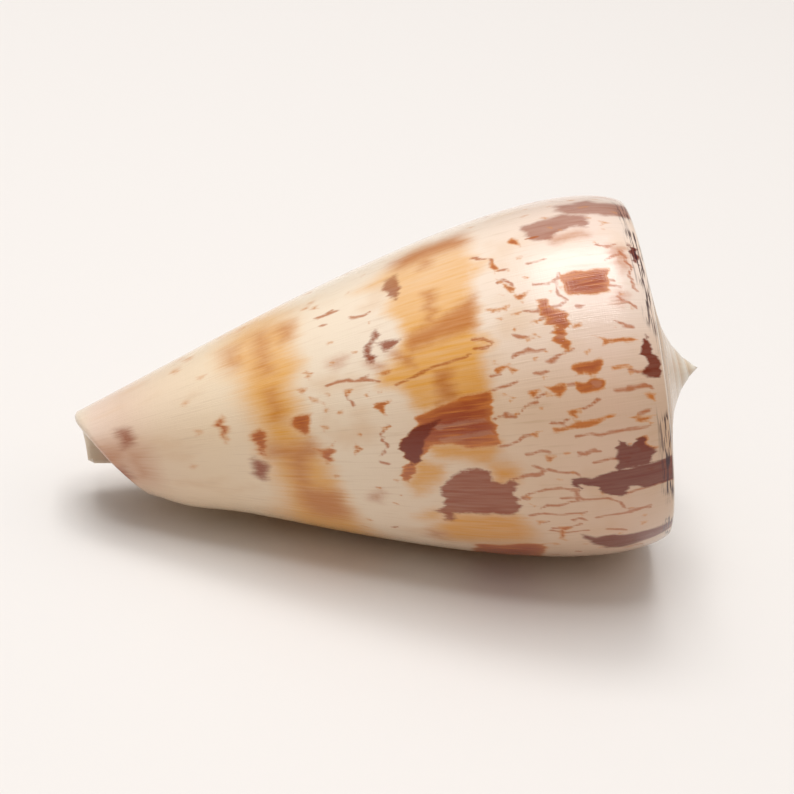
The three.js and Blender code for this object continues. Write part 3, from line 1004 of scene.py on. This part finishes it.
class Pattern:
    """The colour pattern: listed marks on the side that shows, and more of their kinds elsewhere."""

    seed: int = 17
    unseen: tuple[tuple[float, float], ...] = ((4, 110), (306, 372))  # degrees round the axis
    bands: tuple[tuple[float, float], ...] = ((16, 21.5), (30.5, 39))  # millimetres up it
    band_step: float = 8.0  # degrees between the corners of a band
    band_wander: float = 1.0
    full: float = 110.0  # degrees that the counts below are for
    clear: float = 3.0  # degrees that the patches keep from the side that shows
    # Layer, how many, where up the axis and half how wide in millimetres
    spread: tuple[tuple[Layer, int, tuple[float, float], tuple[float, float]], ...] = (
        (Layer.BROWN, 26, (24, 54), (0.5, 1.2)),
        (Layer.BROWN, 8, (33, 39), (1.6, 3.2)),
        (Layer.VIOLET, 7, (28, 54), (1.4, 2.8)),
        (Layer.RUST, 9, (16, 50), (1.0, 2.4)),
        (Layer.DEEP, 5, (45, 54), (1.2, 2.4)),
    )
    # Where up the axis, and how many all round
    tent_zones: tuple[tuple[float, float, int], ...] = ((10, 17, 22), (22.5, 30, 60), (39.5, 53, 190))
    line_zones: tuple[tuple[float, float, int], ...] = ((23, 28, 16), (39.5, 51.5, 110))

    blotch_corners: int = 9
    blotch_reach: tuple[float, float] = (0.55, 1.25)  # of its size
    blotch_length: tuple[float, float] = (0.7, 1.5)  # round the axis, in widths
    tent_size: tuple[float, float] = (0.12, 0.34)  # half its width in millimetres
    tent_drop: tuple[float, float] = (1.0, 2.2)  # how far round it hangs, in sizes
    tent_lean: tuple[float, float] = (-0.5, 0.8)
    tent_slant: float = 0.3  # of its drop, from one upper corner to the other
    line_corners: tuple[int, int] = (2, 5)  # the fewest, and one more than the most
    line_step: tuple[float, float] = (0.5, 1.2)  # millimetres up
    line_sway: tuple[float, float] = (-1.6, 1.4)  # degrees round

    def __init__(self, growth: Growth) -> None:
        """Keep the shell's sizes."""
        self.growth = growth

    def blotch(self, draw: np.random.Generator, height: float, turn: float, size: float) -> Corners:
        """An uneven patch.

        Args:
            draw: the source of chance.
            height: millimetres up the axis of its middle.
            turn: degrees round the axis of its middle.
            size: half its width in millimetres.

        Returns:
            Its corners.
        """
        scale = math.degrees(1 / self.growth.girth(height))
        steps = np.linspace(0, TURN, self.blotch_corners + 1)[:-1]
        reach = size * draw.uniform(*self.blotch_reach, len(steps))
        long = draw.uniform(*self.blotch_length)
        up = height + reach * np.cos(steps) / long
        round_ = turn + reach * np.sin(steps) * long * scale
        return tuple(zip(up.tolist(), round_.tolist()))

    def tents(self, skin: Skin, draw: np.random.Generator) -> None:
        """Scatter small tents over the pale zones, broad above and pointed below.

        Args:
            skin: what they go on.
            draw: the source of chance.
        """
        for low, high, count in self.tent_zones:
            for _ in range(count):
                height, turn = draw.uniform(low, high), draw.uniform(0, 360)
                size = draw.uniform(*self.tent_size)
                drop = math.degrees(size * draw.uniform(*self.tent_drop) / self.growth.girth(height))
                tip = (height + draw.uniform(*self.tent_lean) * size, turn + drop)
                top = (height - size, turn), (height + size, turn + self.tent_slant * drop)
                skin.lay(Layer.BROWN, (*top, tip))

    def lines(self, skin: Skin, draw: np.random.Generator) -> None:
        """Scatter thin wavy lines that run up the pale zones.

        Args:
            skin: what they go on.
            draw: the source of chance.
        """
        for low, high, count in self.line_zones:
            for _ in range(count):
                steps = int(draw.integers(*self.line_corners))
                up = draw.uniform(low, high) + np.cumsum(draw.uniform(*self.line_step, steps))
                turn = draw.uniform(0, 360) + np.cumsum(draw.uniform(*self.line_sway, steps))
                skin.draw(tuple(zip(up.tolist(), turn.tolist())))

    def continue_unseen(self, skin: Skin, draw: np.random.Generator) -> None:
        """Carry the bands and patches on round the sides that don't show.

        Args:
            skin: what they go on.
            draw: the source of chance.
        """
        for first, last in self.unseen:
            edge = np.arange(first, last + 1, self.band_step)
            for low, high in self.bands:
                up = [(low + draw.uniform(-self.band_wander, self.band_wander), t) for t in edge]
                down = [(high + draw.uniform(-self.band_wander, self.band_wander), t) for t in edge[::-1]]
                skin.lay(Layer.AMBER, tuple(up + down))
            for layer, count, heights, sizes in self.spread:
                for _ in range(max(1, round(count * (last - first) / self.full))):
                    height, turn = draw.uniform(*heights), draw.uniform(first + self.clear, last - self.clear)
                    skin.lay(layer, self.blotch(draw, height, turn, draw.uniform(*sizes)))

    def lay(self, skin: Skin) -> None:
        """Lay every mark on the skin."""
        for layer, marks in SEEN_MARKS.items():
            for corners in marks:
                skin.lay(layer, corners)
        for corners in SEEN_HAIRS:
            skin.draw(corners)
        draw = np.random.default_rng(self.seed)
        self.continue_unseen(skin, draw)
        self.tents(skin, draw)
        self.lines(skin, draw)
        skin.finish()


# ---------------------------------------------------------------------------------------------
# The finish


Shade = tuple[int, int, int]  # red, green and blue as they show, from 0 to 255
Span = tuple[float, float]  # where something starts and where it is full


def tint(red: int, green: int, blue: int) -> tuple[float, float, float, float]:
    """A colour as it shows, as the shader's linear numbers."""
    share = (v / 255 for v in (red, green, blue))
    return (*(v / 12.92 if v <= 0.04045 else ((v + 0.055) / 1.055) ** 2.4 for v in share), 1.0)


@dataclass(frozen=True)
class Grain:
    """Noise drawn out into streaks."""

    first: float  # how fast it changes with the first length
    second: float  # the same for the second
    detail: float = 2.0

    def noise(self, f: Formula, first: Term, second: Term) -> Term:
        """The noise where two lengths put a point."""
        return f.noise(f.stretched(first * self.first, second * self.second), 1.0, self.detail)


@dataclass(frozen=True)
class Pigment:
    """How one layer of pigment shows."""

    layer: Layer
    shade: Shade
    least: float  # cover between the streaks
    streaks: float = 0.0  # what the streaks add to it
    upper: float = 1.0  # share of that cover on the upper side, less where the pigment is painted paler as the lights wash it out
    lower: float = 0.0  # what the lower side adds to the share, as painted shade away from the lights
    looser: float = 1.0  # how many times softer its edge is than a mark's
    haze: float = 0.0  # millimetres of softness that its edge has anywhere
    ragged: float = 0.6  # share of the raggedness that its edge follows

    def spread(self, skin: "SkinTerms") -> Term:
        """Zero outside the layer and one inside, from the signed distance."""
        f = skin.f
        inside = f.attribute(self.layer.value) + skin.ragged * self.ragged
        share = f.math("MULTIPLY_ADD", inside / (skin.soft * self.looser + self.haze), 0.5, 0.5)
        return f.smoothstep(share, 0.0, 1.0)

    def over(self, skin: "SkinTerms", colour: Term) -> Term:
        """The colour with this layer laid over it."""
        # painted light: the cover is thinner on the lit upper side and fuller on the shaded lower side
        cover = (self.least + self.streaks * skin.streak) * (self.upper + self.lower * skin.lower_side)
        return skin.f.blend(colour, tint(*self.shade), self.spread(skin) * cover)


@dataclass(frozen=True)
class ShellFinish:
    """Polished shell with pigment in it, and painted light and shade. Lengths are in millimetres."""

    # The ground from the base to the apex, and what clouds and lines it
    ground: tuple[tuple[float, Shade], ...] = (
        (0.0, (238, 222, 200)),
        (1.6, (238, 214, 196)),
        (4.5, (232, 206, 184)),
        (8.0, (236, 214, 188)),
        (13.0, (240, 220, 192)),
        (26.0, (242, 226, 204)),
        (40.0, (242, 224, 206)),
        (50.0, (238, 216, 202)),
        (54.4, (232, 214, 200)),
        (60.0, (238, 232, 216)),
    )
    cloud: Shade = (226, 192, 156)
    cloud_scale: float = 0.16
    cloud_detail: float = 3.0
    cloud_shows: Span = (0.5, 0.75)
    cloud_cover: float = 0.5
    line: Shade = (214, 188, 160)
    line_shows: Span = (0.52, 0.8)
    line_cover: float = 0.45

    # The see-through layers
    # amber and violet are painted paler on the lit upper side and fuller on the lower side
    amber: Pigment = Pigment(
        Layer.AMBER, (232, 168, 70), 0.42, 0.5, upper=0.75, lower=0.5, looser=5.0, haze=0.25, ragged=1.0
    )
    rust: Pigment = Pigment(Layer.RUST, (186, 108, 54), 0.45, 0.5, looser=4.0, haze=0.25, ragged=1.0)
    violet: Pigment = Pigment(
        Layer.VIOLET, (146, 68, 36), 0.62, 0.4, upper=0.8, lower=0.3, looser=1.6, ragged=1.0
    )
    lower_side: Span = (44.0, 62.0)  # round the shoulder, from the lit upper side to the lower side, for the pigments' painted light and shade
    veil: tuple[float, float, float, float] = (0.84, 0.73, 0.62, 1.0)  # painted shade: darkens the lower side, which faces the floor and away from the lights
    veil_round: Span = (56.0, 68.0)
    veil_up: Span = (24.0, 44.0)
    veil_least: float = 0.35  # of the painted shade that reaches the base

    # The marks
    hair: Shade = (178, 96, 42)
    hair_ragged: float = 0.3
    hair_edge: Span = (-0.26, -0.03)
    hair_cover: float = 0.8
    browns: tuple[tuple[float, Shade], ...] = (
        (0.0, (212, 146, 84)),
        (0.22, (184, 102, 50)),
        (0.7, (164, 76, 34)),
        (1.8, (152, 62, 30)),
    )
    brown_depth: float = 3.0
    brown: Pigment = Pigment(Layer.BROWN, (206, 122, 52), 0.95)
    brown_streaks: Span = (0.46, 0.7)
    brown_streak_cover: float = 0.75
    pale: Pigment = Pigment(Layer.PALE, (242, 226, 204), 0.18)
    deep: Pigment = Pigment(Layer.DEEP, (118, 46, 28), 0.84, 0.2)

    # How the marks' edges wander: scale, detail and reach, and fine fraying along the growth lines
    wanders: tuple[tuple[float, float, float], ...] = ((1.1, 2.0, 0.4), (4.0, 3.0, 0.3))
    fray: Grain = Grain(0.5, 5.5)
    fray_reach: float = 0.42
    streak: Grain = Grain(0.22, 2.6, 4.0)

    # The shoulder, by how far a place is under the ridge
    ramp: Shade = (246, 243, 234)
    ramp_edge: Span = (-0.9, -0.1)
    ramp_cover: float = 0.7
    thread: Shade = (58, 34, 44)
    thread_from: Span = (-0.6, -0.1)
    thread_to: Span = (0.7, 1.6)
    thread_place: Grain = Grain(0.16, 0.3)
    thread_places: Span = (0.42, 0.54)
    thread_grain: Grain = Grain(6.0, 0.3)
    thread_shows: Span = (0.47, 0.56)
    thread_turns: Span = (1.0, 1.6)  # turns back from the lip over which the threads end
    thread_cover: float = 0.9
    # painted highlight: a pale line along the crest of the shoulder, where the lights glint
    ridge: Shade = (250, 242, 232)
    ridge_highlight_at: float = 0.05
    ridge_highlight_half: Span = (0.04, 0.2)
    ridge_highlight_cover: float = 0.8

    # The polish
    roughness: float = 0.3
    roughness_range: float = 0.16
    ior: float = 1.5
    specular: float = 0.12
    coat: float = 0.8
    coat_roughness: float = 0.04
    relief: float = 0.6
    relief_height: float = 0.00004  # metres
    growth_line: Grain = Grain(0.12, 6.5, 3.0)
    spiral_line: Grain = Grain(7.0, 0.05)
    spiral_share: float = 0.35

    def build(self, material: bpy.types.Material) -> None:
        """Write the shader.

        Args:
            material: an empty material.
        """
        material.use_nodes = True
        f = Formula(material.node_tree)
        shader = material.node_tree.nodes["Principled BSDF"]
        constants = {
            "Coat Weight": self.coat,
            "Coat Roughness": self.coat_roughness,
            "IOR": self.ior,
            "Specular IOR Level": self.specular,
        }
        for name, value in constants.items():
            shader.inputs[name].default_value = value
        skin = SkinTerms(f, self)
        colour = self.shoulder(skin, self.marks(skin, self.bands(skin, self.ground_colour(skin))))
        f.feed(shader.inputs["Base Color"], colour)
        f.feed(shader.inputs["Roughness"], self.roughness + self.roughness_range * (skin.streak - 0.5))
        relief = self.bump(skin)
        f.feed(shader.inputs["Normal"], relief)
        f.feed(shader.inputs["Coat Normal"], relief)

    def stops(self, shades: tuple[tuple[float, Shade], ...], length: float) -> list[tuple[float, tuple]]:
        """Colour stops along a length, as shares of it."""
        return [(at / length, tint(*shade)) for at, shade in shades]

    def ground_colour(self, skin: "SkinTerms") -> Term:
        """The shell's own colour, clouded and finely lined."""
        f, length = skin.f, self.ground[-1][0]
        colour = f.ramp(skin.height / length, self.stops(self.ground, length))
        cloud = f.noise(skin.grown, self.cloud_scale, self.cloud_detail)
        colour = f.blend(colour, tint(*self.cloud), f.smoothstep(cloud, *self.cloud_shows) * self.cloud_cover)
        lines = f.smoothstep(skin.streak, *self.line_shows) * self.line_cover
        return f.blend(colour, tint(*self.line), lines)

    def bands(self, skin: "SkinTerms", colour: Term) -> Term:
        """The colour with the see-through layers over it, and painted shade on the lower side.

        Args:
            skin: where each point is.
            colour: the colour so far.

        Returns:
            The new colour.
        """
        f = skin.f
        colour = self.rust.over(skin, self.amber.over(skin, colour))
        # painted shade: the lower side, away from the lights, is darkened by multiplying, less towards the
        # base
        up = self.veil_least + (1.0 - self.veil_least) * f.smoothstep(skin.height, *self.veil_up)
        colour = f.blend(colour, self.veil, f.smoothstep(skin.arc, *self.veil_round) * up, "MULTIPLY")
        return self.violet.over(skin, colour)

    def marks(self, skin: "SkinTerms", colour: Term) -> Term:
        """The colour with the thin lines, brown marks and darkest places over it.

        Args:
            skin: where each point is.
            colour: the colour so far.

        Returns:
            The new colour.
        """
        f = skin.f
        hair = f.smoothstep(f.attribute(HAIR) + skin.ragged * self.hair_ragged, *self.hair_edge)
        colour = f.blend(colour, tint(*self.hair), hair * self.hair_cover)
        depth = f.attribute(Layer.BROWN.value) + skin.ragged * self.brown.ragged
        dark = f.ramp(depth / self.brown_depth, self.stops(self.browns, self.brown_depth))
        streaks = f.smoothstep(skin.streak, *self.brown_streaks) * self.brown_streak_cover
        dark = f.blend(dark, tint(*self.brown.shade), streaks)
        shows = 1.0 - self.pale.spread(skin) * self.pale.least
        colour = f.blend(colour, dark, self.brown.spread(skin) * shows * self.brown.least)
        return self.deep.over(skin, colour)

    def shoulder(self, skin: "SkinTerms", colour: Term) -> Term:
        """The colour with a painted highlight along the ridge, the dark threads that run along it and the
        whiter ramp.

        Args:
            skin: where each point is.
            colour: the colour so far.

        Returns:
            The new colour.
        """
        f, under = skin.f, skin.under_ridge
        ramp = 1.0 - f.smoothstep(under, *self.ramp_edge)
        colour = f.blend(colour, tint(*self.ramp), ramp * self.ramp_cover)
        band = f.smoothstep(under, *self.thread_from) * (1.0 - f.smoothstep(under, *self.thread_to))
        here = f.smoothstep(self.thread_place.noise(f, skin.arc, under), *self.thread_places)
        threads = f.smoothstep(self.thread_grain.noise(f, under, skin.arc), *self.thread_shows)
        young = 1.0 - f.smoothstep(skin.age, *(TURN * turns for turns in self.thread_turns))
        colour = f.blend(colour, tint(*self.thread), band * here * threads * young * self.thread_cover)
        # painted highlight along the crest of the ridge
        ridge = 1.0 - f.smoothstep(f.math("ABSOLUTE", under - self.ridge_highlight_at), *self.ridge_highlight_half)
        return f.blend(colour, tint(*self.ridge), ridge * self.ridge_highlight_cover)

    def bump(self, skin: "SkinTerms") -> Term:
        """The faint relief of growth lines and spiral lines."""
        f = skin.f
        growth = self.growth_line.noise(f, skin.height, skin.arc)
        spiral = self.spiral_line.noise(f, skin.height, skin.arc)
        made = f.node("ShaderNodeBump")
        made.inputs["Strength"].default_value = self.relief
        made.inputs["Distance"].default_value = self.relief_height
        f.feed(made.inputs["Height"], growth + self.spiral_share * spiral)
        return Term(f, made.outputs[0])


class SkinTerms:
    """What the shader knows at each point of the skin."""

    def __init__(self, f: Formula, finish: ShellFinish) -> None:
        """Read the attributes.

        Args:
            f: the shader's formula.
            finish: the sizes of the streaks and of the raggedness.
        """
        self.f = f
        self.grown = f.attribute(GROWN, "Vector")
        split = f.node("ShaderNodeSeparateXYZ")
        f.feed(split.inputs[0], self.grown)
        self.height, self.arc, self.age = (Term(f, socket) for socket in split.outputs)
        self.under_ridge = f.attribute(UNDER_RIDGE)
        self.soft = f.attribute(SOFTNESS)
        self.streak = finish.streak.noise(f, self.height, self.arc)
        # from the lit upper side to the lower side, which the pigments' painted light and shade follow
        self.lower_side = f.smoothstep(self.arc, *finish.lower_side)
        self.ragged = (finish.fray.noise(f, self.height, self.arc) - 0.5) * finish.fray_reach
        for scale, detail, reach in finish.wanders:
            self.ragged = self.ragged + (f.noise(self.grown, scale, detail) - 0.5) * reach


# ---------------------------------------------------------------------------------------------
# The shell


@dataclass(frozen=True)
class ConeShell:
    """The shell, one piece that stands for the solid."""

    growth: Growth = Growth()
    finish: ShellFinish = ShellFinish()
    crease: float = math.radians(48)  # a sharper turn than this is drawn as an edge
    name: str = "shell"

    def apex(self) -> Vector:
        """Where the solid's apex is, the furthest point of its node along X."""
        mesh = bpy.data.objects["cone_shell"].data
        return Vector(max((v.co for v in mesh.vertices), key=lambda co: co.x))

    def grow(self, material: bpy.types.Material) -> bpy.types.Object:
        """Make the piece by the growth rule.

        Args:
            material: its finish.

        Returns:
            A plain mesh object at the origin.
        """
        piece = bpy.data.objects.new(self.name, ShellTemplate(self.growth).build())
        bpy.context.scene.collection.objects.link(piece)
        tree = GrowthTree(self.growth, self.growth.standing(self.apex()), material).build()
        modifier = piece.modifiers.new("growth", "NODES")
        modifier.node_group = tree
        sockets = [item for item in tree.interface.items_tree if item.in_out == "INPUT"][1:]
        for socket, size in zip(sockets, fields(Growth)):
            modifier[socket.identifier] = getattr(self.growth, size.name)
        graph = bpy.context.evaluated_depsgraph_get()
        grown = bpy.data.meshes.new_from_object(piece.evaluated_get(graph))
        template = piece.data
        piece.modifiers.clear()
        piece.data = grown
        bpy.data.meshes.remove(template)
        return piece

    def build(self) -> bpy.types.Object:
        """Grow the shell, lay its pattern and hand it to the frame.

        Returns:
            The finished piece.
        """
        material = bpy.data.materials.new("polished_shell")
        self.finish.build(material)
        piece = self.grow(material)
        mesh = piece.data
        mesh.shade_smooth()
        mesh.set_sharp_from_angle(angle=self.crease)
        Pattern(self.growth).lay(Skin(mesh, self.growth))
        for kind in Carried:
            mesh.attributes.remove(mesh.attributes[kind.value])
        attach(piece, "root")
        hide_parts("cone_shell")
        return piece


# ---------------------------------------------------------------------------------------------
# The studio


@dataclass(frozen=True)
class Studio:
    """Floor, lights and camera, sizes in metres."""

    floor_half: float = 3.0
    floor_drop: float = 0.00004
    floor_colour: Shade = (227, 224, 221)
    floor_roughness: float = 0.6
    floor_specular: float = 0.2
    ring_height: float = 0.6
    ring_outer: tuple[float, float, float, float] = (-0.195, 0.118, -0.2, 0.28)
    ring_inner: tuple[float, float, float, float] = (-0.135, 0.052, -0.112, 0.104)
    ring_power: float = 2.3
    key_power: float = 0.7
    key_size: tuple[float, float] = (0.5, 0.5)
    key_place: tuple[float, float, float] = (-0.03, 0.1, 0.7)
    zenith: tuple[float, float, float] = (0.85, 0.85, 0.86)
    horizon: tuple[float, float, float] = (0.24, 0.16, 0.09)
    sky_span: Span = (0.35, 0.85)  # how high the light from the horizon starts and ends to change
    azimuth: float = math.radians(-7.2)
    elevation: float = math.radians(30)
    camera_roll: float = math.radians(6.38)
    distance: float = 0.2
    target: tuple[float, float, float] = (0.00084, 0.0, 0.01383)
    lens: float = 93.2  # millimetres
    sensor: float = 36.0  # millimetres
    nearest: float = 0.01

    def floor(self) -> bpy.types.Object:
        """Make the floor.

        Returns:
            A plain pale plane.
        """
        w, z = self.floor_half, -self.floor_drop
        mesh = bpy.data.meshes.new("floor")
        mesh.from_pydata([(-w, -w, z), (w, -w, z), (w, w, z), (-w, w, z)], [], [(0, 1, 2, 3)])
        material = bpy.data.materials.new("pale_table")
        material.use_nodes = True
        shader = material.node_tree.nodes["Principled BSDF"]
        shader.inputs["Base Color"].default_value = tint(*self.floor_colour)
        shader.inputs["Roughness"].default_value = self.floor_roughness
        shader.inputs["Specular IOR Level"].default_value = self.floor_specular
        mesh.materials.append(material)
        piece = bpy.data.objects.new("floor", mesh)
        bpy.context.scene.collection.objects.link(piece)
        return piece

    def ring(self) -> None:
        """Four strips of light in a rectangle over the shell."""
        x0, x1, y0, y1 = self.ring_outer
        u0, u1, v0, v1 = self.ring_inner
        strips = ((x0, x1, y0, v0), (x0, x1, v1, y1), (x0, u0, v0, v1), (u1, x1, v0, v1))
        total = (x1 - x0) * (y1 - y0) - (u1 - u0) * (v1 - v0)
        for number, (left, right, near, far) in enumerate(strips):
            data = bpy.data.lights.new(f"ring_{number}", "AREA")
            data.shape = "RECTANGLE"
            data.size, data.size_y = right - left, far - near
            data.energy = self.ring_power * (right - left) * (far - near) / total
            light = bpy.data.objects.new(f"ring_{number}", data)
            light.location = ((left + right) / 2, (near + far) / 2, self.ring_height)
            bpy.context.scene.collection.objects.link(light)

    def key(self) -> None:
        """A broad light over the shell and a little behind it, too even to show as a reflection."""
        data = bpy.data.lights.new("key", "AREA")
        data.shape = "RECTANGLE"
        data.size, data.size_y = self.key_size
        data.energy = self.key_power
        light = bpy.data.objects.new("key", data)
        light.location = self.key_place
        light.rotation_euler = Vector(self.key_place).to_track_quat("Z", "Y").to_euler()
        light.visible_glossy = False
        bpy.context.scene.collection.objects.link(light)

    def room(self) -> None:
        """Even light from all round."""
        world = bpy.data.worlds.new("room")
        world.use_nodes = True
        f = Formula(world.node_tree)
        split = f.node("ShaderNodeSeparateXYZ")
        f.feed(split.inputs[0], Term(f, f.node("ShaderNodeTexCoord").outputs["Generated"]))
        rise = Term(f, split.outputs[2])
        low, high = self.sky_span
        sky = f.ramp(rise, [(0.0, (*self.horizon, 1)), (low, (*self.horizon, 1)), (high, (*self.zenith, 1))])
        f.feed(world.node_tree.nodes["Background"].inputs[0], sky)
        world.cycles_visibility.glossy = False
        bpy.context.scene.world = world
        bpy.context.scene.view_settings.view_transform = "Standard"
        bpy.context.scene.view_settings.look = "None"

    def camera(self) -> None:
        """Put the camera where the photograph was taken from."""
        e, az, roll = self.elevation, self.azimuth, self.camera_roll
        target = Vector(self.target)
        back = Vector((math.sin(az) * math.cos(e), -math.cos(az) * math.cos(e), math.sin(e)))
        flat = Vector((math.cos(az), math.sin(az), 0))
        rise = back.cross(flat)
        right = flat * math.cos(roll) + rise * math.sin(roll)
        up = rise * math.cos(roll) - flat * math.sin(roll)
        data = bpy.data.cameras.new("camera")
        data.lens, data.sensor_width, data.clip_start = self.lens, self.sensor, self.nearest
        camera = bpy.data.objects.new("camera", data)
        turn = Matrix((right, up, back)).transposed().to_4x4()
        camera.matrix_world = Matrix.Translation(target + back * self.distance) @ turn
        bpy.context.scene.collection.objects.link(camera)
        bpy.context.scene.camera = camera

    def build(self) -> None:
        """Make the whole studio."""
        self.camera()
        self.floor()
        self.ring()
        self.key()
        self.room()


def main() -> None:
    """Build the studio, then the shell."""
    logging.basicConfig(level=logging.INFO, format="%(name)s: %(message)s")
    Studio().build()
    log.info("studio: floor, ring light and camera")
    shell = ConeShell().build()
    log.info("%s: %d points, %d faces", shell.name, len(shell.data.vertices), len(shell.data.polygons))


if __name__ == "__main__":
    main()
